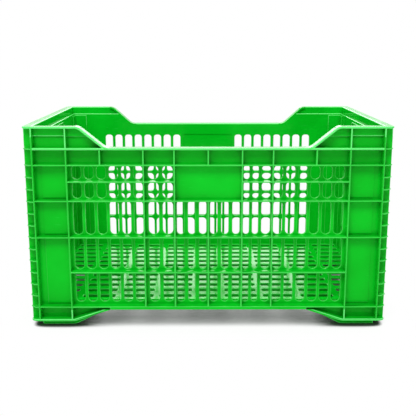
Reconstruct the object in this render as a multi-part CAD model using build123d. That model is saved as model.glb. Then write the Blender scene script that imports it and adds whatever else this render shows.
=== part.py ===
"""Harvest crate: one ventilated plastic moulding, built up from its named moulded regions.

Millimetres, +Z up, origin at the centre of the footprint, under the locating bosses.
X runs along the long walls, Y along the short walls, and the front wall faces -Y.
A wall is drawn in its own frame: across the wall, up, and depth out of the skin's outer face.
"""
from build123d import *

import math
import os

# Overall size
LENGTH = 545.0
WIDTH = 360.0
STACK_HEIGHT = 300.0
BOSS_HEIGHT = 10.0

# Moulded thicknesses
SKIN = 3.0
RIB = 2.1
RIB_DEPTH = 14.5
CORNER_RADIUS = 8.5
LADDER_RIB = 1.8
FLANGE = 3.2

# Rim, its inside ledge, and the dip in each long wall
LEDGE_DROP = 12.5
LEDGE_DEPTH = 4.0
DIP_DEPTH = 31.5
FRONT_SHOULDER = 82.5
FRONT_SHOULDER_RUN = 39.0
BACK_SHOULDER = 91.5
BACK_SHOULDER_RUN = 35.0
SHOULDER_RADIUS = 16.0

# Feet and the raised bottom edge between them
FLOOR_RISE = 18.5
FOOT_LENGTH = 66.5
FOOT_RUN = 55.0
FOOT_RADIUS = 16.0

# Rib layout: spacing from the corner, and the shares of height from row to row
RIB_SPACING = 49.6
FIRST_RIB = 22.6
FRONT_BAND = 25.8
BACK_BAND = 19.5
FRONT_ROW_SHARES = (55.3, 55.0, 56.0, 29.0, 25.0)
BACK_ROW_SHARES = (61.5, 49.0, 40.0, 37.0, 38.0)
ROWS_BESIDE_LABEL = 2
LADDER_STEPS = 12
LADDER_CORNER = 7.5

# Label fields
FRONT_LABEL_HALF = 50.3
BACK_LABEL_HALF = 47.0
LABEL_MARGIN = 2.9
LABEL_RAISE = 1.5

# Slots: pitch and width in each bay, distance from the ribs, and the part of its width that an end is eased
LABEL_BAY_PITCH = 16.5
LABEL_BAY_SLOT = 10.8
INNER_BAY = 45.6
LEFT_INNER_MARGIN = 3.0
LEFT_INNER_PITCH = 21.0
LEFT_INNER_SLOT = 15.5
RIGHT_NARROW_BAY = 27.5
RIGHT_NARROW_PITCH = 13.0
RIGHT_NARROW_SLOT = 9.0
OUTER_BAY_PITCH = 18.0
OUTER_BAY_SLOT = 13.3
OUTER_BAY_MARGIN = 3.2
END_BAY_PITCH = 23.0
END_BAY_SLOT = 12.7
SLOT_END_GAP = 2.2
SLOT_EASE = 0.29
FRONT_SLOT_RISE = 2.5

# Back wall: even slots in the top row; below it, the outer ends and slot counts of the inner bays
BACK_PITCH = 17.2
BACK_TOP_SLOT = 13.4
BACK_TOP_MARGIN = 10.4
BACK_BAR = 4.6
BACK_MARGIN = 12.4
BACK_LEFT_ENDS = (BACK_LABEL_HALF, 81.0, 124.6)
BACK_LEFT_COUNTS = (2, 2, 2)
BACK_RIGHT_ENDS = (BACK_LABEL_HALF, 68.0, 104.5, 127.0)
BACK_RIGHT_COUNTS = (3, 1, 2, 1)
BACK_SLOT_RISE = 15.0

# Hand holes in the short walls
GRIP_HALF = 54.0
GRIP_HEIGHT = 32.0
GRIP_CLEARANCE = 4.5
GRIP_RADIUS = 12.0
COLLAR = 3.0
COLLAR_LIP = 1.5

# Corner panels: raised fields outside, a thicker post inside
PAD_RAISE = 1.2
PAD_MARGIN = 3.0
PAD_OUTER_MARGIN = 10.0
POST_WIDTH = 23.0
POST_RAISE = 2.0

# Floor grid and the ribs under it
FLOOR = 2.4
FLOOR_LIFT = 9.1
FLOOR_STRIP = 10.0
FLOOR_STRIP_FIRST = 21.5
FLOOR_STRIP_PITCH = 60.0
FLOOR_HOLE = 12.5
FLOOR_ROW_PITCH = 26.5
FLOOR_EDGE = 2.5
FLOOR_RIB = 2.6
FLOOR_RIB_DEPTH = 7.5

# Heights that follow
FOOT_Z = BOSS_HEIGHT
RIM_Z = FOOT_Z + STACK_HEIGHT
RIM_UNDER_Z = RIM_Z - FLANGE
LEDGE_Z = RIM_Z - LEDGE_DROP
LEDGE_UNDER_Z = LEDGE_Z - SKIN
DIP_Z = RIM_Z - DIP_DEPTH
DIP_UNDER_Z = DIP_Z - FLANGE
SILL_Z = FOOT_Z + FLOOR_RISE
FLOOR_Z = SILL_Z + FLOOR_LIFT
FLOOR_TOP_Z = FLOOR_Z + FLOOR
FIRST_RIB_Z = FOOT_Z + FIRST_RIB

# Places that follow
HALF_RIB = RIB / 2
SKIN_X = LENGTH / 2 - RIB_DEPTH
SKIN_Y = WIDTH / 2 - RIB_DEPTH
INSIDE_X = SKIN_X - SKIN
INSIDE_Y = SKIN_Y - SKIN
LONG_RIB = SKIN_X + HALF_RIB - RIB_SPACING
SHORT_RIB = SKIN_Y + HALF_RIB - RIB_SPACING
BAND_RIB = LONG_RIB - RIB_SPACING
UPRIGHT_IN = LEDGE_DEPTH - SKIN


def rect(left, right, low, high):
    """A rectangle given by its four sides."""
    return Pos((left + right) / 2, (low + high) / 2) * Rectangle(right - left, high - low)


def mirrored(*places):
    """Each place with its mirror image, and the centre line once."""
    return sorted({side * place for place in places for side in (-1, 1)})


def stand_out(profile, start, end):
    """A wall profile given a depth; depth 0 is the skin's outer face, and outward is positive."""
    return extrude(Plane.XZ.offset(start) * profile, amount=end - start)


def rise(plan, low, high):
    """A plan raised from one height to another."""
    return Pos(0, 0, low) * extrude(plan, amount=high - low)


def row_levels(top, shares):
    """Rib heights from the first rib up to the top one, spaced in the given shares."""
    steps = [sum(shares[:count]) / sum(shares) for count in range(len(shares) + 1)]
    return [FIRST_RIB_Z + (top - FIRST_RIB_Z) * step for step in steps]


def columns(start, end, pitch):
    """Evenly spaced slot centres in one bay."""
    count = max(1, int((end - start) / pitch))
    step = (end - start) / count
    return [start + step * (index + 0.5) for index in range(count)]


def spans(centres, width):
    """The two sides of each slot of one width."""
    return [(centre - width / 2, centre + width / 2) for centre in centres]


def half_bars(bay_ends, counts, end, pitch):
    """Places of the bars from the middle of a wall outward: its bays first, then even to the end."""
    bars = [0]
    for bay_end, count in zip(bay_ends, counts):
        start = bars[-1]
        bars += [start + (bay_end - start) * (step + 1) / count for step in range(count)]
    centres = columns(bars[-1], end, pitch)
    half_step = centres[0] - bars[-1]
    return bars + [centre + half_step for centre in centres]


def spans_between(bars, width):
    """The two sides of each slot left open between bars of one width."""
    return [(left + width / 2, right - width / 2) for left, right in zip(bars, bars[1:])]


def beside_label(row, half):
    """The part of a row of slots that lies clear of the label field, on both its sides."""
    edge = half + LABEL_MARGIN
    left_side = [(left, min(right, -edge)) for left, right in row if left < -edge]
    right_side = [(max(left, edge), right) for left, right in row if right > edge]
    return left_side + right_side


def slot_row(row, low, high, ease=0):
    """A row of upright slots between two rib heights, with plain or eased ends."""
    slots = [rect(left, right, low + SLOT_END_GAP, high - SLOT_END_GAP) for left, right in row]
    if not ease:
        return slots
    return [chamfer(slot.vertices(), ease * (right - left)) for slot, (left, right) in zip(slots, row)]


def outline_and_edge(points, rounded, radius, window):
    """A filleted outline, and the strip one flange thick along its edge, both cut to a window."""
    outline = make_face(Polyline(*points, close=True))
    corners = [outline.vertices().sort_by_distance((*point, 0))[0] for point in rounded]
    outline = fillet(corners, radius)
    strip = outline - offset(outline, -FLANGE, kind=Kind.INTERSECTION)
    return outline & window, strip & window


# Rib heights of the long walls: rows across the wall, then rows beside the label
FRONT_LEVELS = row_levels(DIP_Z - FRONT_BAND, FRONT_ROW_SHARES)
BACK_LEVELS = row_levels(DIP_Z - BACK_BAND, BACK_ROW_SHARES)
ROW_COUNT = len(FRONT_ROW_SHARES)
ROWS_UNDER_LABEL = ROW_COUNT - ROWS_BESIDE_LABEL
ROWS_TO_MID_LABEL = ROWS_UNDER_LABEL + ROWS_BESIDE_LABEL // 2
CORNER_LEVELS = (0, ROWS_UNDER_LABEL - 1, ROWS_UNDER_LABEL, ROW_COUNT)

# Front wall slots: the left inner bay holds one slot less than the right one
INNER_END = FRONT_LABEL_HALF + INNER_BAY
NARROW_END = FRONT_LABEL_HALF + RIGHT_NARROW_BAY
LEFT_INNER = columns(FRONT_LABEL_HALF, INNER_END - LEFT_INNER_MARGIN, LEFT_INNER_PITCH)
WIDE_CENTRES = columns(NARROW_END, INNER_END, OUTER_BAY_PITCH)
WIDE_CENTRES += mirrored(*columns(INNER_END, LONG_RIB - OUTER_BAY_MARGIN, OUTER_BAY_PITCH))
FRONT_SPANS = (
    spans(mirrored(*columns(0, FRONT_LABEL_HALF, LABEL_BAY_PITCH)), LABEL_BAY_SLOT)
    + spans([-centre for centre in LEFT_INNER], LEFT_INNER_SLOT)
    + spans(columns(FRONT_LABEL_HALF, NARROW_END, RIGHT_NARROW_PITCH), RIGHT_NARROW_SLOT)
    + spans(WIDE_CENTRES, OUTER_BAY_SLOT)
)
FRONT_ROWS = [FRONT_SPANS] * ROWS_UNDER_LABEL
FRONT_ROWS += [beside_label(FRONT_SPANS, FRONT_LABEL_HALF)] * ROWS_BESIDE_LABEL
FRONT_SLOTS = (FRONT_ROWS, SLOT_EASE, FRONT_SLOT_RISE)
FRONT_TALL_RIBS = mirrored(FRONT_LABEL_HALF, INNER_END)

# Back wall slots, left and right as seen over the front wall
BACK_END = LONG_RIB - BACK_MARGIN
LEFT_BARS = half_bars(BACK_LEFT_ENDS, BACK_LEFT_COUNTS, BACK_END, BACK_PITCH)
RIGHT_BARS = half_bars(BACK_RIGHT_ENDS, BACK_RIGHT_COUNTS, BACK_END, BACK_PITCH)
BACK_SPANS = spans_between(sorted({*LEFT_BARS, *(-bar for bar in RIGHT_BARS)}), BACK_BAR)
BACK_TOP_SIDES = (BACK_LABEL_HALF + LABEL_MARGIN, LONG_RIB - BACK_TOP_MARGIN)
BACK_TOP = mirrored(*columns(*BACK_TOP_SIDES, BACK_PITCH))
BACK_ROWS = [BACK_SPANS] * ROWS_UNDER_LABEL
BACK_ROWS += [beside_label(BACK_SPANS, BACK_LABEL_HALF)] * (ROWS_BESIDE_LABEL - 1)
BACK_ROWS.append(spans(BACK_TOP, BACK_TOP_SLOT))
BACK_SLOTS = (BACK_ROWS, 0, BACK_SLOT_RISE)
BACK_TALL_RIBS = [*mirrored(BACK_LABEL_HALF), BACK_LEFT_ENDS[-1], -BACK_RIGHT_ENDS[-1]]

# Raised ends of the two long rims
FRONT_RAISED_END = (FRONT_SHOULDER, FRONT_SHOULDER_RUN)
BACK_RAISED_END = (BACK_SHOULDER, BACK_SHOULDER_RUN)


def label_field(levels, half):
    """The outline of the plain label field between its ribs."""
    side = half - HALF_RIB
    return rect(-side, side, levels[ROWS_UNDER_LABEL] + HALF_RIB, levels[ROW_COUNT] - HALF_RIB)


def label_panel(levels, half):
    """The plain label field, set a little proud of the skin."""
    return stand_out(label_field(levels, half), LABEL_RAISE - SKIN, LABEL_RAISE)


def long_wall_panel(levels, half, rows, ease, slot_rise):
    """The slotted skin of a long wall, open where the label field sits, lowest slots raised as asked."""
    side = LONG_RIB - HALF_RIB
    cuts = [label_field(levels, half)]
    lows = [levels[0] + slot_rise, *levels[1:]]
    for row, low, high in zip(rows, lows, levels[1:]):
        cuts += slot_row(row, low, high, ease)
    return stand_out(rect(-side, side, SILL_Z, DIP_UNDER_Z) - cuts, -SKIN, 0)


def level_bar(left, right, level):
    """One horizontal rib, drawn on the wall."""
    return rect(left, right, level - HALF_RIB, level + HALF_RIB)


def upright_bar(place, low, high):
    """One vertical rib, drawn on the wall."""
    return rect(place - HALF_RIB, place + HALF_RIB, low, high)


def long_rib_frame(levels, half, tall_ribs):
    """The crossed ribs of a long wall between its corner panels, on the sill beam."""
    side = LONG_RIB - HALF_RIB
    sill = LENGTH / 2 - FOOT_LENGTH - FOOT_RUN
    top = levels[ROW_COUNT]
    bars = [rect(-sill, sill, SILL_Z, levels[0] + HALF_RIB)]
    bars += [level_bar(-side, side, level) for level in levels if level != levels[ROWS_TO_MID_LABEL]]
    for end in (-1, 1):
        bars.append(level_bar(*sorted((end * half, end * side)), levels[ROWS_TO_MID_LABEL]))
    bars += [upright_bar(place, levels[0], DIP_UNDER_Z) for place in tall_ribs]
    bars += [upright_bar(place, top, DIP_UNDER_Z) for place in mirrored(0, BAND_RIB)]
    bars.append(upright_bar(0, levels[0], levels[ROWS_UNDER_LABEL]))
    return stand_out(Sketch() + bars, 0, RIB_DEPTH)


def slope_tangent(run):
    """How far a rounded corner of the rim reaches along the rim, for a slope of the given run."""
    return SHOULDER_RADIUS * math.tan(math.atan2(DIP_DEPTH, run) / 2)


def dip_seam(length, run):
    """Where the straight flange of a dip ends, clear of the rounded foot of the slope."""
    return LENGTH / 2 - length - run - slope_tangent(run) - FLANGE


def dip_rim(length, run):
    """The straight flange along the bottom of a rim dip."""
    seam = dip_seam(length, run)
    return stand_out(rect(-seam, seam, DIP_UNDER_Z, DIP_Z), -SKIN, RIB_DEPTH)


def shoulder(length, run):
    """The raised right end of a long wall: skin, ledge, sloping rim and the ribs under it."""
    past = 2 * FLANGE
    seam = dip_seam(length, run)
    slope_top = (LENGTH / 2 - length, RIM_Z)
    slope_foot = (slope_top[0] - run, DIP_Z)
    points = [
        (seam - past, DIP_UNDER_Z - past),
        (seam - past, DIP_Z),
        slope_foot,
        slope_top,
        (SKIN_X + past, RIM_Z),
        (SKIN_X + past, DIP_UNDER_Z - past),
    ]
    window = rect(seam, SKIN_X, DIP_UNDER_Z, RIM_Z)
    field, edge = outline_and_edge(points, (slope_foot, slope_top), SHOULDER_RADIUS, window)
    flat_start = slope_top[0] + slope_tangent(run)
    slope_edge = edge & rect(seam, flat_start, DIP_UNDER_Z, RIM_Z)
    flat_edge = edge & rect(flat_start, SKIN_X, RIM_UNDER_Z, RIM_Z)
    skin = field & rect(seam, SKIN_X, DIP_UNDER_Z, LEDGE_Z)
    ledge = field & rect(seam, SKIN_X, LEDGE_UNDER_Z, LEDGE_Z)
    upright = field & rect(seam, SKIN_X, LEDGE_Z, RIM_Z)
    shelf = field & rect(seam, SKIN_X, DIP_UNDER_Z, DIP_Z)
    post = rect(INSIDE_X - POST_WIDTH, INSIDE_X, DIP_UNDER_Z, LEDGE_UNDER_Z)
    return (
        stand_out(skin, -SKIN, 0)
        + stand_out(ledge, -SKIN, LEDGE_DEPTH)
        + stand_out(upright, UPRIGHT_IN, LEDGE_DEPTH)
        + stand_out(slope_edge, -SKIN, RIB_DEPTH)
        + stand_out(flat_edge, UPRIGHT_IN, RIB_DEPTH)
        + stand_out(shelf, 0, RIB_DEPTH)
        + stand_out(upright_bar(LONG_RIB, DIP_UNDER_Z, LEDGE_Z), 0, RIB_DEPTH)
        + stand_out(upright_bar(LONG_RIB, LEDGE_Z, RIM_UNDER_Z), UPRIGHT_IN, RIB_DEPTH)
        + stand_out(post, -SKIN - POST_RAISE, -SKIN)
    )


def corner_panel(rib, skin_end, rib_end, post_end, top, levels):
    """The plain ribbed panel at the right end of a wall, with a thicker post inside."""
    skin = rect(rib - HALF_RIB, skin_end, SILL_Z, top)
    bars = [level_bar(rib, rib_end, level) for level in levels]
    bars.append(upright_bar(rib, SILL_Z, top))
    post = rect(post_end - POST_WIDTH, post_end, FLOOR_TOP_Z, top)
    return (
        stand_out(skin, -SKIN, 0)
        + stand_out(Sketch() + bars, 0, RIB_DEPTH)
        + stand_out(post, -SKIN - POST_RAISE, -SKIN)
    )


def long_corner_panel(levels):
    """The corner panel of a long wall, with a raised field between each two of its ribs."""
    heights = [levels[index] for index in CORNER_LEVELS]
    sides = (LONG_RIB + PAD_MARGIN, SKIN_X - PAD_OUTER_MARGIN)
    fields = [
        rect(*sides, low + PAD_MARGIN, high - PAD_MARGIN) for low, high in zip(heights, heights[1:])
    ]
    panel = corner_panel(LONG_RIB, SKIN_X, SKIN_X, INSIDE_X, DIP_UNDER_Z, heights)
    return panel + stand_out(Sketch() + fields, 0, PAD_RAISE)


def short_corner_panel():
    """The corner panel of a short wall, up to the ledge of its rim."""
    rib_heights = [FRONT_LEVELS[index] for index in CORNER_LEVELS]
    rib_heights.append(DIP_Z - FLANGE / 2)
    post_end = INSIDE_Y - POST_RAISE
    return corner_panel(SHORT_RIB, INSIDE_Y, SKIN_Y, post_end, LEDGE_UNDER_Z, rib_heights)


def short_wall_panel(levels):
    """The slotted skin of a short wall, below its hand hole."""
    side = SHORT_RIB - HALF_RIB
    row = spans(mirrored(*columns(0, SHORT_RIB, END_BAY_PITCH)), END_BAY_SLOT)
    cuts = []
    for low, high in zip(levels[:ROWS_UNDER_LABEL], levels[1:]):
        cuts += slot_row(row, low, high)
    return stand_out(rect(-side, side, SILL_Z, levels[ROW_COUNT]) - cuts, -SKIN, 0)


def short_rib_frame(levels):
    """The crossed ribs of a short wall, up to the rib under the hand hole."""
    side = SHORT_RIB - HALF_RIB
    sill = WIDTH / 2 - FOOT_LENGTH - FOOT_RUN
    top = levels[ROW_COUNT]
    bars = [rect(-sill, sill, SILL_Z, levels[0] + HALF_RIB), rect(-side, side, top - RIB, top)]
    bars += [level_bar(-side, side, level) for level in levels[:ROWS_TO_MID_LABEL]]
    bars += [upright_bar(place, levels[0], top) for place in mirrored(0, SHORT_RIB / 2)]
    return stand_out(Sketch() + bars, 0, RIB_DEPTH)


def hand_grip(levels):
    """The top of a short wall round its hand hole, with a deep collar to hold."""
    side = SHORT_RIB - HALF_RIB
    centre = Pos(0, LEDGE_UNDER_Z - GRIP_CLEARANCE - GRIP_HEIGHT / 2)
    hole = centre * RectangleRounded(2 * GRIP_HALF, GRIP_HEIGHT, GRIP_RADIUS)
    collar = centre * RectangleRounded(
        2 * GRIP_HALF + 2 * COLLAR, GRIP_HEIGHT + 2 * COLLAR, GRIP_RADIUS + COLLAR
    )
    skin = rect(-side, side, levels[ROW_COUNT], LEDGE_UNDER_Z)
    return stand_out(skin - hole, -SKIN, 0) + stand_out(collar - hole, -SKIN - COLLAR_LIP, RIB_DEPTH)


def corner_plan():
    """The rounded plan of the front right corner outside the skin."""
    square = rect(SKIN_X, LENGTH / 2, -WIDTH / 2, -SKIN_Y)
    tip = square.vertices().sort_by_distance((LENGTH / 2, -WIDTH / 2, 0))[0]
    return fillet(tip, CORNER_RADIUS)


def ladder_plan():
    """The plan of one ladder shelf, cut off straight at the corner."""
    square = rect(SKIN_X, LENGTH / 2, -WIDTH / 2, -SKIN_Y)
    tip = square.vertices().sort_by_distance((LENGTH / 2, -WIDTH / 2, 0))[0]
    return chamfer(tip, LADDER_CORNER)


def corner_rib_plan():
    """The two skins carried on to the envelope at the front right corner, in plan."""
    along = rect(SKIN_X, LENGTH / 2, -SKIN_Y - RIB, -SKIN_Y)
    across = rect(SKIN_X, SKIN_X + RIB, -WIDTH / 2, -SKIN_Y)
    return along + across


def corner_ladder():
    """The rounded edge of the front right corner: two ribs with a ladder of small shelves."""
    low = FOOT_Z + FLANGE
    step = (FRONT_LEVELS[ROW_COUNT] - FIRST_RIB_Z) / LADDER_STEPS
    heights = [FIRST_RIB_Z + step * count for count in range(LADDER_STEPS + 1)]
    heights.append(DIP_Z - FLANGE / 2)
    ladder = rise(corner_rib_plan(), low, LEDGE_UNDER_Z)
    for height in heights:
        ladder += rise(ladder_plan(), height - LADDER_RIB / 2, height + LADDER_RIB / 2)
    return ladder


def right_rim():
    """The rim of the right wall with both its rounded corners, its ledge and the ribs under it."""
    inner = SKIN_Y + UPRIGHT_IN
    outer = SKIN_Y + LEDGE_DEPTH
    flange = rect(SKIN_X, LENGTH / 2, -WIDTH / 2, WIDTH / 2)
    flange = fillet(flange.vertices().group_by(Axis.X)[-1], CORNER_RADIUS)
    flange -= rect(SKIN_X, SKIN_X + UPRIGHT_IN, -inner, inner)
    ledge = rect(INSIDE_X, SKIN_X + LEDGE_DEPTH, -INSIDE_Y, INSIDE_Y)
    ledge += rect(SKIN_X, SKIN_X + LEDGE_DEPTH, -outer, outer)
    upright = rect(SKIN_X, SKIN_X + LEDGE_DEPTH, -outer, outer)
    upright -= rect(SKIN_X, SKIN_X + UPRIGHT_IN, -inner, inner)
    edge_ribs = corner_rib_plan() - rect(SKIN_X, SKIN_X + UPRIGHT_IN, -inner, inner)
    ribs = [edge_ribs, mirror(edge_ribs, about=Plane.XZ)]
    for place in mirrored(SHORT_RIB):
        ribs.append(rect(SKIN_X + UPRIGHT_IN, LENGTH / 2, place - HALF_RIB, place + HALF_RIB))
    return (
        rise(ledge, LEDGE_UNDER_Z, LEDGE_Z)
        + rise(upright + ribs, LEDGE_UNDER_Z, RIM_UNDER_Z)
        + rise(flange, RIM_UNDER_Z, RIM_Z)
    )


def foot_outline(half_span, low, window):
    """The outline of a foot at the right end of a wall down to one height, and its flange's edge."""
    past = 2 * FLANGE
    slope_top = (half_span - FOOT_LENGTH - FOOT_RUN, SILL_Z)
    slope_foot = (half_span - FOOT_LENGTH, low)
    points = [
        slope_top,
        slope_foot,
        (half_span + past, low),
        (half_span + past, SILL_Z + past),
        (slope_top[0], SILL_Z + past),
    ]
    return outline_and_edge(points, (slope_foot,), FOOT_RADIUS, window)


def foot_leg(half_span, rib, skin_end, edge_end):
    """One leg of a foot: sloping flange, rib, and the skin that runs on below them as the boss."""
    start = half_span - FOOT_LENGTH - FOOT_RUN
    skin, _ = foot_outline(half_span, 0, rect(start, skin_end, 0, SILL_Z))
    _, edge = foot_outline(half_span, FOOT_Z, rect(start, edge_end, FOOT_Z, SILL_Z))
    return (
        stand_out(skin, -SKIN, 0)
        + stand_out(edge, 0, RIB_DEPTH)
        + stand_out(upright_bar(rib, FOOT_Z, SILL_Z), 0, RIB_DEPTH)
    )


def stacking_foot():
    """The foot of the front right corner: two legs and the corner of their flange."""
    long_leg = foot_leg(LENGTH / 2, LONG_RIB, SKIN_X, SKIN_X)
    short_leg = foot_leg(WIDTH / 2, SHORT_RIB, INSIDE_Y, SKIN_Y)
    short_leg = WALL_PLACE["right"] * mirror(short_leg, about=Plane.YZ)
    return WALL_PLACE["front"] * long_leg + short_leg + rise(corner_plan(), FOOT_Z, FOOT_Z + FLANGE)


def floor_strips():
    """Centres of the solid strips that run across the floor, on the right half."""
    count = int((INSIDE_X - FLOOR_STRIP_FIRST - FLOOR_STRIP) / FLOOR_STRIP_PITCH) + 1
    return [FLOOR_STRIP_FIRST + FLOOR_STRIP_PITCH * index for index in range(count)]


def floor_rows():
    """Centres of the rows of floor holes."""
    return columns(FLOOR_EDGE - INSIDE_Y, INSIDE_Y - FLOOR_EDGE, FLOOR_ROW_PITCH)


def floor_grid():
    """The open floor: rows of long holes between solid strips."""
    centres = [-INSIDE_X, *mirrored(*floor_strips()), INSIDE_X]
    holes = []
    for row in floor_rows():
        for left, right in zip(centres, centres[1:]):
            ends = (left + FLOOR_STRIP / 2, right - FLOOR_STRIP / 2)
            holes.append(rect(*ends, row - FLOOR_HOLE / 2, row + FLOOR_HOLE / 2))
    return rise(rect(-INSIDE_X, INSIDE_X, -INSIDE_Y, INSIDE_Y) - holes, FLOOR_Z, FLOOR_TOP_Z)


def floor_ribs():
    """The stiffening ribs under the floor: one below each bar, crossed below four of the strips."""
    strips = floor_strips()
    half = FLOOR_RIB / 2
    rows = floor_rows()
    between = [(low + high) / 2 for low, high in zip(rows, rows[1:])]
    bars = [rect(-strips[-1], strips[-1], place - half, place + half) for place in between]
    for place in mirrored(strips[0], strips[-1]):
        bars.append(rect(place - half, place + half, between[0] - half, between[-1] + half))
    return rise(Sketch() + bars, FLOOR_Z - FLOOR_RIB_DEPTH, FLOOR_Z)


WALL_PLACE = {
    "front": Pos(0, -SKIN_Y, 0),
    "back": Pos(0, SKIN_Y, 0) * Rot(0, 0, 180),
    "right": Pos(SKIN_X, 0, 0) * Rot(0, 0, 90),
    "left": Pos(-SKIN_X, 0, 0) * Rot(0, 0, -90),
}
RIGHT_END = {"front": "right", "back": "left", "right": "back", "left": "front"}
LEFT_END = {"front": "left", "back": "right", "right": "front", "left": "back"}


def both_ends(wall, name, piece):
    """A piece of a wall's right end and its mirror image at the left end, under their names."""
    place = WALL_PLACE[wall]
    return {
        f"{wall}_{RIGHT_END[wall]}_{name}": place * piece,
        f"{wall}_{LEFT_END[wall]}_{name}": place * mirror(piece, about=Plane.YZ),
    }


def four_corners(name, piece):
    """A piece of the front right corner and its mirror images at the other corners."""
    back = mirror(piece, about=Plane.XZ)
    return {
        f"front_right_{name}": piece,
        f"front_left_{name}": mirror(piece, about=Plane.YZ),
        f"back_right_{name}": back,
        f"back_left_{name}": mirror(back, about=Plane.YZ),
    }


def build_crate():
    """Every moulded region of the crate under its node name."""
    nodes = {"floor_grid": floor_grid(), "floor_ribs": floor_ribs()}
    long_walls = (
        ("front", FRONT_LEVELS, FRONT_LABEL_HALF, FRONT_SLOTS, FRONT_TALL_RIBS, FRONT_RAISED_END),
        ("back", BACK_LEVELS, BACK_LABEL_HALF, BACK_SLOTS, BACK_TALL_RIBS, BACK_RAISED_END),
    )
    for wall, levels, half, slots, tall_ribs, raised_end in long_walls:
        place = WALL_PLACE[wall]
        nodes[f"{wall}_wall_panel"] = place * long_wall_panel(levels, half, *slots)
        nodes[f"{wall}_label_panel"] = place * label_panel(levels, half)
        nodes[f"{wall}_rib_frame"] = place * long_rib_frame(levels, half, tall_ribs)
        nodes[f"{wall}_dip_rim"] = place * dip_rim(*raised_end)
        nodes |= both_ends(wall, "shoulder", shoulder(*raised_end))
        nodes |= both_ends(wall, "corner_panel", long_corner_panel(levels))
    for wall in ("left", "right"):
        place = WALL_PLACE[wall]
        nodes[f"{wall}_wall_panel"] = place * short_wall_panel(FRONT_LEVELS)
        nodes[f"{wall}_rib_frame"] = place * short_rib_frame(FRONT_LEVELS)
        nodes[f"{wall}_hand_grip"] = place * hand_grip(FRONT_LEVELS)
        nodes |= both_ends(wall, "corner_panel", short_corner_panel())
    nodes["right_rim"] = right_rim()
    nodes["left_rim"] = mirror(nodes["right_rim"], about=Plane.YZ)
    nodes |= four_corners("corner_ladder", corner_ladder())
    nodes |= four_corners("stacking_foot", stacking_foot())
    return nodes


os.makedirs("parts", exist_ok=True)
for node, shape in build_crate().items():
    export_step(shape, f"parts/{node}.step")
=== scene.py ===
import math

import bmesh
import bpy
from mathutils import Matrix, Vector
from mathutils.bvhtree import BVHTree
from mathutils.geometry import delaunay_2d_cdt, intersect_point_line


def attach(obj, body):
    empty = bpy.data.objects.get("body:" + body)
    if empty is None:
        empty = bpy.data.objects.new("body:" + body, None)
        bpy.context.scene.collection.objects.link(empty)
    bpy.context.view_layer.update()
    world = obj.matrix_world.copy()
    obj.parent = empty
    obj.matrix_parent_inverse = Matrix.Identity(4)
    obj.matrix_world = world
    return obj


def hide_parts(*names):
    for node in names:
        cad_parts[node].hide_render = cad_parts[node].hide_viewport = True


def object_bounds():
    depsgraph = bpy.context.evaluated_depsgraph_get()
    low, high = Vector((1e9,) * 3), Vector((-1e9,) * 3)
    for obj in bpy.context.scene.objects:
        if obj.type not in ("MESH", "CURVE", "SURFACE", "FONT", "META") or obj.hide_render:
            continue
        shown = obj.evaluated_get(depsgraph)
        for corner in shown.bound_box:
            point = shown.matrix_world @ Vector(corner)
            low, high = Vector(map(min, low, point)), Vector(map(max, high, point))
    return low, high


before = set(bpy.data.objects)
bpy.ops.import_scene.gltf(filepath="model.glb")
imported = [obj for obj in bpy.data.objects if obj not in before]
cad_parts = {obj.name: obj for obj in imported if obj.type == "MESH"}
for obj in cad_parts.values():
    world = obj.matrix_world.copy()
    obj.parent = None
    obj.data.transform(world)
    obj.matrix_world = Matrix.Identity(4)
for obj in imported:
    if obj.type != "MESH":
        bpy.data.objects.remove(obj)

CAD_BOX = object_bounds()
MM = 0.001

# Camera, in metres and degrees
CAMERA_PLACE = (-0.005, -1.2263, 0.4248)
CAMERA_DOWN = 12.71
CAMERA_RIGHT = 0.25
LENS = 62.35
SENSOR = 36.0

# Meshes: distances at which corners are welded and regions touch, and the angles of flat and sharp edges
WELD = 0.01 * MM
TOUCH = 0.05 * MM
TOUCH_SAMPLES = (0.2, 0.5, 0.8)
FLAT = math.radians(1)
SHARP = math.radians(28)
FLAT_FACE_WEIGHT = 100

# Rounding of the free edges of each kind of region, and the shares of it that an edge can get
ROUNDING = {
    "rib_frame": 0.9 * MM,
    "corner_ladder": 0.8 * MM,
    "dip_rim": 1.5 * MM,
    "shoulder": 1.5 * MM,
    "rim": 1.5 * MM,
    "hand_grip": 1.2 * MM,
    "label_panel": 0.7 * MM,
    "corner_panel": 0.9 * MM,
    "stacking_foot": 1.1 * MM,
    "floor_ribs": 0.8 * MM,
}
ROUNDING_SHARES = (1, 0.9, 0.65, 0.45, 0.25, 0)
SHARE_MARGIN = 0.01
ROUNDING_STEPS = 3

# Room for a rounding: how many times its width the faces beside the edge run on flat
ROOM = 2.1
ROOM_SAMPLES = (0.03, 0.25, 0.5, 0.75, 0.97)
FLUSH = 0.01 * MM

# Folds: the turn that counts as one, how near it edges are rounded less, growing with each try, and what
# counts as an arc, whose short edges are rounded less together
ROUNDING_TRIES = 8
FOLD = math.radians(165)
FOLD_REACH = 2.5 * MM
FOLD_REACH_STEP = 0.5 * MM
EMPTY_FACE = 0.002 * MM
ARC_FACET = 5 * MM
ARC_BEND = 0.95

# Regions that are made as the mirror image of another
TWINS = {"front_left_shoulder": "front_right_shoulder"}

# Painted highlight: how pale the rounded outer edges of each kind of region are painted, standing in for the
# highlights they catch
EDGE_HIGHLIGHT_PAINT = {
    "rib_frame": 0.3,
    "corner_ladder": 0.3,
    "dip_rim": 0.7,
    "shoulder": 0.7,
    "rim": 0.7,
    "hand_grip": 0.4,
    "label_panel": 0.2,
    "corner_panel": 0.2,
    "stacking_foot": 0.8,
    "floor_ribs": 0.1,
    "wall_panel": 0.22,
    "floor_grid": 0.2,
}

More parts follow.
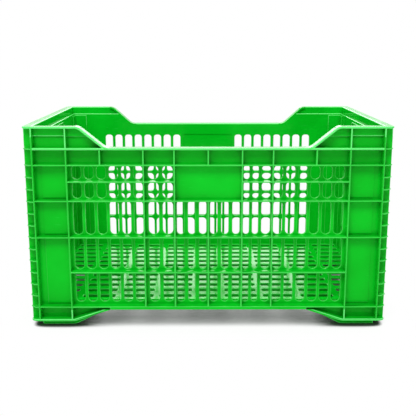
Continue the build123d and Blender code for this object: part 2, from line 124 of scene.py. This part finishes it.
# Slotted plates: how round the slot ends are, as a share of the slot's half width
SLOT_ENDS = {
    "front_wall_panel": 0.96,
    "back_wall_panel": 0.75,
    "left_wall_panel": 0.9,
    "right_wall_panel": 0.9,
    "floor_grid": 0.5,
}
SLOT_EDGE = 0.9 * MM
SLOT_WIDEST = 40 * MM
SLOT_LONGEST = 80 * MM
CORNER_STEPS = 6
EDGE_STEPS = 3
FACING = 0.99
PLATE_SHARP = math.radians(50)
INSIDE_OUTLINE = 1
FILL_EPSILON = 1e-7

# Plastic: its colours, the noise of its clouds, scuffs and grain, the painted shade in hollows, the painted
# highlight on edges and the gloss
GREEN_DEEP = (0.0012, 0.44, 0.012, 1)
GREEN_LIGHT = (0.0018, 0.51, 0.016, 1)
GREEN_SCUFFED = (0.02, 0.56, 0.05, 1)
GREEN_PAINTED_SHADE = (0.0004, 0.1, 0.003, 1)
GREEN_PAINTED_HIGHLIGHT = (0.18, 0.9, 0.25, 1)
CLOUD_SCALE = 16
CLOUD_DETAIL = 3
CLOUD_SPAN = (0.35, 0.65)
SCUFF_SCALE = 60
SCUFF_DETAIL = 6
SCUFF_SQUEEZE = (1, 1, 9)
SCUFF_SPAN = (0.62, 0.72)
SCUFF_SHARE = 0.35
GRAIN_SCALE = 1400
GRAIN_DETAIL = 2
GRAIN_STRENGTH = 0.12
GRAIN_HEIGHT = 0.05 * MM
PAINTED_SHADE_REACH = 12 * MM
PAINTED_SHADE_OPEN = 0.65
PAINTED_SHADE_SHARE = 0.6
ROUGHNESS = (0.09, 0.14)
SCUFF_ROUGHNESS = 0.4
SPECULAR_LEVEL = 0.08
PLASTIC_IOR = 1.5

# Light: the daylight on surfaces, and three lamps that face the origin
DAYLIGHT = 0.58
KEY_POWER = 37.0
KEY_SIZE = (0.9, 0.9)
KEY_PLACE = (-0.35, -1.55, 1.95)
TOP_POWER = 12.0
TOP_SIZE = (0.9, 0.9)
TOP_PLACE = (0.2, 0.25, 1.8)
BACK_POWER = 28.0
BACK_SIZE = (3.2, 0.85)
BACK_PLACE = (0, 2.6, 1.14)

# Floor: its size and colour, the share of it that shows plain white, and the distance from the crate's
# footprint at which it has run out into plain white
FLOOR_SIZE = 16
FLOOR_WHITE = 0.93
FLOOR_ROUGHNESS = 0.9
FLOOR_PLAIN = 0.9
FADE_END = 0.05

# Painted shadow on the floor, drawn into the brightness of its white glow: its reach, the openness at which
# it is full and gone, and the painted darker middle, which sets in some way in from the long edges of the
# footprint and sooner, by the stretch, from the short ones
SHADOW_REACH = 0.09
SHADOW_SAMPLES = 48
SHADOW_OPEN = (0.34, 0.58)
DEEP_FROM = 0.1
DEEP_TO = 0.13
DEEP_SHADE = 0.08
DEEP_STRETCH = 4


def extent(points, axis):
    """The lowest and the highest place of some points along an axis."""
    places = [point[axis] for point in points]
    return min(places), max(places)


def welded_copy(node):
    """A welded copy of a CAD node's mesh in the shared frame, with its small flat faces joined."""
    mesh = bmesh.new()
    mesh.from_mesh(node.data)
    mesh.transform(node.matrix_world)
    bmesh.ops.remove_doubles(mesh, verts=mesh.verts, dist=WELD)
    bmesh.ops.dissolve_limit(mesh, angle_limit=FLAT, verts=mesh.verts, edges=mesh.edges)
    return mesh


def whole_crate(copies):
    """A search tree over every region's faces, and the name of the region each face belongs to."""
    points = []
    faces = []
    owners = []
    for name, mesh in copies.items():
        first = len(points)
        mesh.verts.index_update()
        points.extend(vert.co.copy() for vert in mesh.verts)
        for corners in mesh.calc_loop_triangles():
            faces.append([first + corner.vert.index for corner in corners])
            owners.append(name)
    return BVHTree.FromPolygons(points, faces), owners


def as_piece(mesh, name, material):
    """Turn a mesh into a smooth shaded piece that replaces its CAD node."""
    data = bpy.data.meshes.new(name + "_moulded")
    for face in mesh.faces:
        face.smooth = True
    mesh.to_mesh(data)
    piece = bpy.data.objects.new(name + "_moulded", data)
    bpy.context.scene.collection.objects.link(piece)
    data.materials.append(material)
    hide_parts(name)
    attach(piece, "root")
    return piece


def weigh_normals(piece):
    """Keep large faces flat to the eye beside the rounded edges."""
    modifier = piece.modifiers.new("flat faces stay flat", "WEIGHTED_NORMAL")
    modifier.keep_sharp = True
    modifier.weight = FLAT_FACE_WEIGHT


def touches_neighbour(edge, name, tree, owners):
    """True where an edge runs along another region, so that the moulding goes on without a break there."""
    start, end = (vert.co for vert in edge.verts)
    hits = 0
    for share in TOUCH_SAMPLES:
        near = tree.find_nearest_range(start.lerp(end, share), TOUCH)
        hits += any(owners[index] != name for _, _, index, _ in near)
    return hits > 1


def has_room(edge, width, own_tree):
    """True where both faces beside an edge run on flat for about twice the rounding's width."""
    start, end = (vert.co for vert in edge.verts)
    for loop in edge.link_loops:
        inward = loop.face.normal.cross(loop.link_loop_next.vert.co - loop.vert.co).normalized()
        for share in ROOM_SAMPLES:
            spot = start.lerp(end, share) + inward * ROOM * width
            if own_tree.find_nearest(spot)[3] > FLUSH:
                return False
    return True


def weigh_edges(name, mesh, tree, owners, width):
    """Give each free edge the largest share of the rounding that has room, and mark the others sharp."""
    own_tree = BVHTree.FromBMesh(mesh)
    weight = mesh.edges.layers.float.new("bevel_weight_edge")
    for edge in mesh.edges:
        if len(edge.link_faces) != 2 or edge.calc_face_angle() < SHARP:
            continue
        if edge.is_convex and not touches_neighbour(edge, name, tree, owners):
            fits = (share for share in ROUNDING_SHARES if has_room(edge, share * width, own_tree))
            edge[weight] = next(fits)
        edge.smooth = edge[weight] > 0


def add_rounding(piece, width):
    """A rounding of the weighted edges, whose faces take the piece's second material slot."""
    rounding = piece.modifiers.new("rounding", "BEVEL")
    rounding.limit_method = "WEIGHT"
    rounding.width = width
    rounding.segments = ROUNDING_STEPS
    rounding.use_clamp_overlap = False
    rounding.loop_slide = False
    rounding.material = 1


def folded_places(data):
    """Clean a rounded mesh of empty faces. Return the middles of the edges at which it is folded back."""
    mesh = bmesh.new()
    mesh.from_mesh(data)
    bmesh.ops.dissolve_degenerate(mesh, dist=EMPTY_FACE, edges=mesh.edges)
    mesh.to_mesh(data)
    bmesh.ops.triangulate(mesh, faces=mesh.faces, quad_method="FIXED", ngon_method="EAR_CLIP")
    places = []
    for edge in mesh.edges:
        if len(edge.link_faces) == 2 and edge.calc_face_angle(0) > FOLD:
            places.append((edge.verts[0].co + edge.verts[1].co) / 2)
    mesh.free()
    return places


def near_any(places, start, end, reach):
    """True where one of the places lies within reach of the edge from start to end."""
    for place in places:
        share = min(max(intersect_point_line(place, start, end)[1], 0), 1)
        if (start.lerp(end, share) - place).length < reach:
            return True
    return False


def round_less(data, places, reach):
    """Take the rounding of the edges near the places down by one step, and of whole arcs with them."""
    weights = data.attributes["bevel_weight_edge"].data
    ends = {}
    at_vertex = {}
    for edge in data.edges:
        if weights[edge.index].value:
            ends[edge.index] = [data.vertices[index].co for index in edge.vertices]
            for index in edge.vertices:
                at_vertex.setdefault(index, []).append(edge.index)
    waiting = [index for index, (start, end) in ends.items() if near_any(places, start, end, reach)]
    chosen = set()
    while waiting:
        index = waiting.pop()
        if index in chosen:
            continue
        chosen.add(index)
        along = (ends[index][1] - ends[index][0]).normalized()
        for vertex in data.edges[index].vertices:
            for other in at_vertex[vertex]:
                span = ends[other][1] - ends[other][0]
                if span.length < ARC_FACET and abs(span.normalized().dot(along)) > ARC_BEND:
                    waiting.append(other)
    for index in chosen:
        weight = weights[index]
        weight.value = next(share for share in ROUNDING_SHARES if share < weight.value - SHARE_MARGIN)
        data.edges[index].use_edge_sharp = not weight.value
    data.update()


def cleanest_rounding(piece):
    """The piece's mesh, rounded less near its folds until none is left, or the try with the fewest."""
    tries = []
    for turn in range(ROUNDING_TRIES):
        graph = bpy.context.evaluated_depsgraph_get()
        rounded = bpy.data.meshes.new_from_object(piece.evaluated_get(graph))
        folds = folded_places(rounded)
        tries.append((len(folds), turn, rounded))
        if not folds:
            break
        round_less(piece.data, folds, FOLD_REACH + turn * FOLD_REACH_STEP)
    return min(tries)[2]


def soften(name, mesh, tree, owners, kind, material):
    """Round a region's free edges as far as there is room, but not where it runs on into its neighbours."""
    weigh_edges(name, mesh, tree, owners, ROUNDING[kind])
    piece = as_piece(mesh, name, material)
    piece.data.materials.append(material)
    add_rounding(piece, ROUNDING[kind])
    piece.data = cleanest_rounding(piece)
    piece.modifiers.clear()
    # Painted highlight: the rounding's faces get a pale tint that stands in for the highlights on rounded
    # edges
    painted_highlight_layer = piece.data.attributes.new("painted_highlight", "FLOAT", "FACE")
    for face in piece.data.polygons:
        painted_highlight_layer.data[face.index].value = EDGE_HIGHLIGHT_PAINT[kind] * face.material_index
        face.material_index = 0
    piece.data.materials.pop(index=1)
    weigh_normals(piece)


def mirror_image(name, twin, material):
    """Make a region as the mirror image of its finished twin across the crate."""
    mesh = bmesh.new()
    mesh.from_mesh(bpy.data.objects[twin + "_moulded"].data)
    bmesh.ops.scale(mesh, vec=(-1, 1, 1), verts=mesh.verts)
    bmesh.ops.reverse_faces(mesh, faces=mesh.faces)
    weigh_normals(as_piece(mesh, name, material))
    mesh.free()


def face_outlines(mesh, axis):
    """The closed outlines of a plate's outermost face along an axis, as lists of points."""
    top = extent([vert.co for vert in mesh.verts], axis)[1]
    outermost = [
        face for face in mesh.faces
        if abs(face.normal[axis]) > FACING and abs(face.calc_center_median()[axis] - top) < TOUCH
    ]
    after = {}
    for face in outermost:
        for loop in face.loops:
            if not any(other in outermost for other in loop.edge.link_faces if other is not face):
                after[loop.vert] = loop.link_loop_next.vert
    outlines = []
    while after:
        start, vert = after.popitem()
        outline = [start.co.copy()]
        while vert is not start:
            outline.append(vert.co.copy())
            vert = after.pop(vert)
        outlines.append(outline)
    return outlines


def round_slot(low, high, radius, grow):
    """Points round a slot whose box and end radius are both enlarged by the same amount."""
    points = []
    reach = radius + grow
    for turn, side, rise in ((0, 1, 1), (90, -1, 1), (180, -1, -1), (270, 1, -1)):
        centre_u = (high if side > 0 else low)[0] - side * radius
        centre_v = (high if rise > 0 else low)[1] - rise * radius
        for step in range(CORNER_STEPS + 1):
            angle = math.radians(turn + 90 * step / CORNER_STEPS)
            points.append((centre_u + reach * math.cos(angle), centre_v + reach * math.sin(angle)))
    return points


def slot_profile(thickness):
    """Steps through the plate along a slot's wall: how far the slot is widened, and at what depth."""
    steps = []
    for step in range(EDGE_STEPS + 1):
        turn = math.radians(90 * step / EDGE_STEPS)
        steps.append((SLOT_EDGE * (1 - math.sin(turn)), SLOT_EDGE * (1 - math.cos(turn))))
    return steps + [(grow, thickness - depth) for grow, depth in reversed(steps)]


def join_rings(mesh, first, second):
    """A band of faces between two rings with as many corners each."""
    corners = zip(first, second, first[1:] + first[:1], second[1:] + second[:1])
    return [mesh.faces.new((a, c, d, b)) for a, b, c, d in corners]


def fill_between(mesh, rings, along, up):
    """Fill a plate's face between its outer ring, the longest one, and the rings of its openings."""
    def length(ring):
        low, high = extent([vert.co for vert in ring], along)
        return high - low

    rings = sorted(rings, key=length)
    verts = [vert for ring in rings for vert in ring]
    owners = [index for index, ring in enumerate(rings) for vert in ring]
    points = [Vector((vert.co[along], vert.co[up])) for vert in verts]
    edges = []
    for ring in rings:
        first = len(edges)
        edges.extend((first + index, first + (index + 1) % len(ring)) for index in range(len(ring)))
    filled = delaunay_2d_cdt(points, edges, [], INSIDE_OUTLINE, FILL_EPSILON)
    triangles, sources = filled[2], filled[3]
    for triangle in triangles:
        corners = [sources[corner][0] for corner in triangle]
        touched = {owners[corner] for corner in corners}
        if len(touched) > 1 or len(rings) - 1 in touched:
            mesh.faces.new([verts[corner] for corner in corners])


def slotted_plate(name, source, material):
    """Rebuild a slotted plate with round-ended slots whose edges are rounded on both faces."""
    extents = [extent([vert.co for vert in source.verts], axis) for axis in range(3)]
    spans = [high - low for low, high in extents]
    axis = spans.index(min(spans))
    along, up = [other for other in range(3) if other != axis]
    top = extents[axis][1]
    thickness = spans[axis]
    mesh = bmesh.new()
    painted_highlight_layer = mesh.faces.layers.float.new("painted_highlight")
    # Painted highlight: the rounded rims of the slots get a pale tint that stands in for their highlights
    painted_highlight = next(EDGE_HIGHLIGHT_PAINT[kind] for kind in EDGE_HIGHLIGHT_PAINT if name.endswith(kind))

    def ring(points, depth):
        corners = []
        for point in points:
            spot = Vector((0, 0, 0))
            spot[along], spot[up], spot[axis] = point[0], point[1], top - depth
            corners.append(mesh.verts.new(spot))
        return corners

    top_rings = []
    bottom_rings = []
    for outline in face_outlines(source, axis):
        low, high = zip(extent(outline, along), extent(outline, up))
        sides = (high[0] - low[0], high[1] - low[1])
        is_slot = max(sides) <= SLOT_LONGEST and min(sides) <= SLOT_WIDEST
        if is_slot:
            radius = SLOT_ENDS[name] * min(sides) / 2
            profile = slot_profile(thickness)
            rings = [ring(round_slot(low, high, radius, grow), depth) for grow, depth in profile]
        else:
            flat = [(point[along], point[up]) for point in outline]
            rings = [ring(flat, depth) for depth in (0, thickness)]
        for step, (first, second) in enumerate(zip(rings, rings[1:])):
            rounded = is_slot and step != EDGE_STEPS
            for face in join_rings(mesh, first, second):
                face[painted_highlight_layer] = painted_highlight if rounded else 0
        top_rings.append(rings[0])
        bottom_rings.append(rings[-1])
    fill_between(mesh, top_rings, along, up)
    fill_between(mesh, bottom_rings, along, up)
    bmesh.ops.recalc_face_normals(mesh, faces=mesh.faces)
    for edge in mesh.edges:
        if len(edge.link_faces) == 2 and edge.calc_face_angle() > PLATE_SHARP:
            edge.smooth = False
    weigh_normals(as_piece(mesh, name, material))


def feed(tree, socket, value):
    """Link a node's input to another node's output, or set it to a fixed value."""
    if isinstance(value, bpy.types.NodeSocket):
        tree.links.new(value, socket)
    else:
        socket.default_value = value


def calculate(tree, operation, first, second, clamp=False):
    """The outcome of one sum on two numbers."""
    node = tree.nodes.new("ShaderNodeMath")
    node.operation = operation
    node.use_clamp = clamp
    feed(tree, node.inputs[0], first)
    feed(tree, node.inputs[1], second)
    return node.outputs["Value"]


def calculate_vector(tree, operation, first, second=(0, 0, 0), output="Vector"):
    """The outcome of one sum on two vectors, or on the first one alone."""
    node = tree.nodes.new("ShaderNodeVectorMath")
    node.operation = operation
    feed(tree, node.inputs[0], first)
    feed(tree, node.inputs[1], second)
    return node.outputs[output]


def remap(tree, value, span, target, curve="LINEAR"):
    """Carry a value over from one span to another, and hold it at the ends."""
    node = tree.nodes.new("ShaderNodeMapRange")
    node.interpolation_type = curve
    feed(tree, node.inputs["Value"], value)
    for name, end in zip(("From Min", "From Max", "To Min", "To Max"), (*span, *target)):
        feed(tree, node.inputs[name], end)
    return node.outputs["Result"]


def mix(tree, share, first, second):
    """A blend of two colours."""
    node = tree.nodes.new("ShaderNodeMix")
    node.data_type = "RGBA"
    feed(tree, node.inputs["Factor"], share)
    feed(tree, node.inputs["A"], first)
    feed(tree, node.inputs["B"], second)
    return node.outputs["Result"]


def noise(tree, scale, detail, squeeze=(1, 1, 1)):
    """Noise that is fixed to the crate, squeezed along its axes."""
    place = tree.nodes.new("ShaderNodeTexCoord")
    mapping = tree.nodes.new("ShaderNodeMapping")
    mapping.inputs["Scale"].default_value = squeeze
    texture = tree.nodes.new("ShaderNodeTexNoise")
    texture.inputs["Scale"].default_value = scale
    texture.inputs["Detail"].default_value = detail
    tree.links.new(place.outputs["Object"], mapping.inputs["Vector"])
    tree.links.new(mapping.outputs["Vector"], texture.inputs["Vector"])
    return texture.outputs["Fac"]


def openness(tree, reach, samples=None):
    """How open a spot lies, from 0 in a deep hollow to 1 where nothing is within reach."""
    node = tree.nodes.new("ShaderNodeAmbientOcclusion")
    node.inputs["Distance"].default_value = reach
    if samples:
        node.samples = samples
    return node.outputs["AO"]


def green_plastic():
    """Glossy green polyethylene: slight clouding, scuffs, painted shade in the corners, painted highlights on
    the rounded edges and fine grain.
    """
    material = bpy.data.materials.new("green_plastic")
    material.use_nodes = True
    tree = material.node_tree
    shader = tree.nodes["Principled BSDF"]
    shader.inputs["Specular IOR Level"].default_value = SPECULAR_LEVEL
    shader.inputs["IOR"].default_value = PLASTIC_IOR

    clouds = remap(tree, noise(tree, CLOUD_SCALE, CLOUD_DETAIL), CLOUD_SPAN, (0, 1))
    scratches = noise(tree, SCUFF_SCALE, SCUFF_DETAIL, SCUFF_SQUEEZE)
    scuffs = remap(tree, scratches, SCUFF_SPAN, (0, SCUFF_SHARE))
    # Painted shade: a darker green where a spot lies in a hollow, in corners and under ribs
    painted_shade = remap(tree, openness(tree, PAINTED_SHADE_REACH), (0, PAINTED_SHADE_OPEN), (PAINTED_SHADE_SHARE, 0))
    painted_highlight = tree.nodes.new("ShaderNodeAttribute")
    painted_highlight.attribute_name = "painted_highlight"
    colour = mix(tree, clouds, GREEN_DEEP, GREEN_LIGHT)
    colour = mix(tree, scuffs, colour, GREEN_SCUFFED)
    colour = mix(tree, painted_shade, colour, GREEN_PAINTED_SHADE)
    # Painted highlight: pale green on the rounded edges
    colour = mix(tree, painted_highlight.outputs["Fac"], colour, GREEN_PAINTED_HIGHLIGHT)
    tree.links.new(colour, shader.inputs["Base Color"])

    clouded = remap(tree, clouds, (0, 1), ROUGHNESS)
    scuffed = remap(tree, scuffs, (0, 1), (0, SCUFF_ROUGHNESS))
    tree.links.new(calculate(tree, "ADD", clouded, scuffed), shader.inputs["Roughness"])

    bump = tree.nodes.new("ShaderNodeBump")
    bump.inputs["Strength"].default_value = GRAIN_STRENGTH
    bump.inputs["Distance"].default_value = GRAIN_HEIGHT
    tree.links.new(noise(tree, GRAIN_SCALE, GRAIN_DETAIL), bump.inputs["Height"])
    tree.links.new(bump.outputs["Normal"], shader.inputs["Normal"])
    return material


def seen_directly(tree):
    """1 for rays that show the surroundings to the camera, straight or by gloss, and 0 for other light."""
    path = tree.nodes.new("ShaderNodeLightPath")
    total = path.outputs["Is Camera Ray"]
    for kind in ("Is Glossy Ray", "Is Transmission Ray"):
        total = calculate(tree, "ADD", total, path.outputs[kind], clamp=True)
    return total


def footprint_distances(tree):
    """How far a spot of the floor lies past the edges of the crate's footprint, each by itself and in all."""
    half = (max(CAD_BOX[1][0], -CAD_BOX[0][0]), max(CAD_BOX[1][1], -CAD_BOX[0][1]), 0)
    spot = tree.nodes.new("ShaderNodeTexCoord").outputs["Object"]
    past_edges = calculate_vector(tree, "SUBTRACT", calculate_vector(tree, "ABSOLUTE", spot), half)
    outside = calculate_vector(tree, "MAXIMUM", past_edges, (0, 0, 0))
    return past_edges, calculate_vector(tree, "LENGTH", outside, output="Value")


def painted_middle_shade(tree, past_edges):
    """How bright the floor's painted shadow lets it be: 1 near the edges of the footprint and outside it, a
    painted darker shade under its middle.
    """
    stretched = calculate_vector(tree, "MULTIPLY", past_edges, (DEEP_STRETCH, 1, 1))
    parts = tree.nodes.new("ShaderNodeSeparateXYZ")
    tree.links.new(stretched, parts.inputs["Vector"])
    past_nearest = calculate(tree, "MAXIMUM", parts.outputs["X"], parts.outputs["Y"])
    return remap(tree, past_nearest, (-DEEP_TO, -DEEP_FROM), (DEEP_SHADE, 1))


def floor_material():
    """White floor that runs out into the white background, with the crate's shadow mostly painted into its
    glow and partly its real shading.
    """
    material = bpy.data.materials.new("floor")
    material.use_nodes = True
    tree = material.node_tree
    shader = tree.nodes["Principled BSDF"]
    shader.inputs["Base Color"].default_value = (FLOOR_WHITE, FLOOR_WHITE, FLOOR_WHITE, 1)
    shader.inputs["Roughness"].default_value = FLOOR_ROUGHNESS
    shader.inputs["Specular IOR Level"].default_value = 0

    past_edges, distance = footprint_distances(tree)
    # Painted shadow: the glow dims where the floor lies in the crate's hollow and under its middle
    open_share = openness(tree, SHADOW_REACH, SHADOW_SAMPLES)
    painted_shadow = remap(tree, open_share, SHADOW_OPEN, (0, painted_middle_shade(tree, past_edges)))
    glow = tree.nodes.new("ShaderNodeEmission")
    glow_strength = remap(tree, distance, (0, FADE_END), (painted_shadow, 1), "SMOOTHSTEP")
    tree.links.new(glow_strength, glow.inputs["Strength"])

    plain = remap(tree, distance, (0, FADE_END), (FLOOR_PLAIN, 1), "SMOOTHSTEP")
    blend = tree.nodes.new("ShaderNodeMixShader")
    tree.links.new(calculate(tree, "MULTIPLY", plain, seen_directly(tree)), blend.inputs["Fac"])
    tree.links.new(shader.outputs["BSDF"], blend.inputs[1])
    tree.links.new(glow.outputs["Emission"], blend.inputs[2])
    tree.links.new(blend.outputs["Shader"], tree.nodes["Material Output"].inputs["Surface"])
    return material


def add_floor():
    bpy.ops.mesh.primitive_plane_add(size=FLOOR_SIZE, location=(0, 0, 0))
    floor = bpy.context.object
    floor.name = "floor"
    floor.data.materials.append(floor_material())


def add_camera():
    data = bpy.data.cameras.new("camera")
    data.sensor_width = SENSOR
    data.lens = LENS
    camera = bpy.data.objects.new("camera", data)
    camera.location = CAMERA_PLACE
    camera.rotation_euler = (math.radians(90 - CAMERA_DOWN), 0, math.radians(-CAMERA_RIGHT))
    bpy.context.scene.collection.objects.link(camera)
    bpy.context.scene.camera = camera


def add_lamp(name, place, size, power):
    data = bpy.data.lights.new(name, "AREA")
    data.shape = "RECTANGLE"
    data.size, data.size_y = size
    data.energy = power
    lamp = bpy.data.objects.new(name, data)
    lamp.location = place
    lamp.rotation_euler = (-Vector(place)).to_track_quat("-Z", "Y").to_euler()
    lamp.visible_camera = False
    bpy.context.scene.collection.objects.link(lamp)


def add_light():
    """White surroundings as far as they are seen, plain daylight on the surfaces, and three lamps."""
    world = bpy.context.scene.world or bpy.data.worlds.new("world")
    bpy.context.scene.world = world
    world.use_nodes = True
    tree = world.node_tree
    background = tree.nodes["Background"]
    background.inputs["Color"].default_value = (1, 1, 1, 1)
    level = remap(tree, seen_directly(tree), (0, 1), (DAYLIGHT, 1))
    tree.links.new(level, background.inputs["Strength"])
    add_lamp("key", KEY_PLACE, KEY_SIZE, KEY_POWER)
    add_lamp("top", TOP_PLACE, TOP_SIZE, TOP_POWER)
    add_lamp("back", BACK_PLACE, BACK_SIZE, BACK_POWER)


plastic = green_plastic()
copies = {name: welded_copy(node) for name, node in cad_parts.items()}
crate_tree, crate_owners = whole_crate(copies)
for name, copy in copies.items():
    if name in SLOT_ENDS:
        slotted_plate(name, copy, plastic)
    elif name not in TWINS:
        kind = next(kind for kind in ROUNDING if name.endswith(kind))
        soften(name, copy, crate_tree, crate_owners, kind, plastic)
for name, twin in TWINS.items():
    mirror_image(name, twin, plastic)

add_camera()
add_floor()
add_light()
bpy.context.scene.view_settings.view_transform = "Standard"
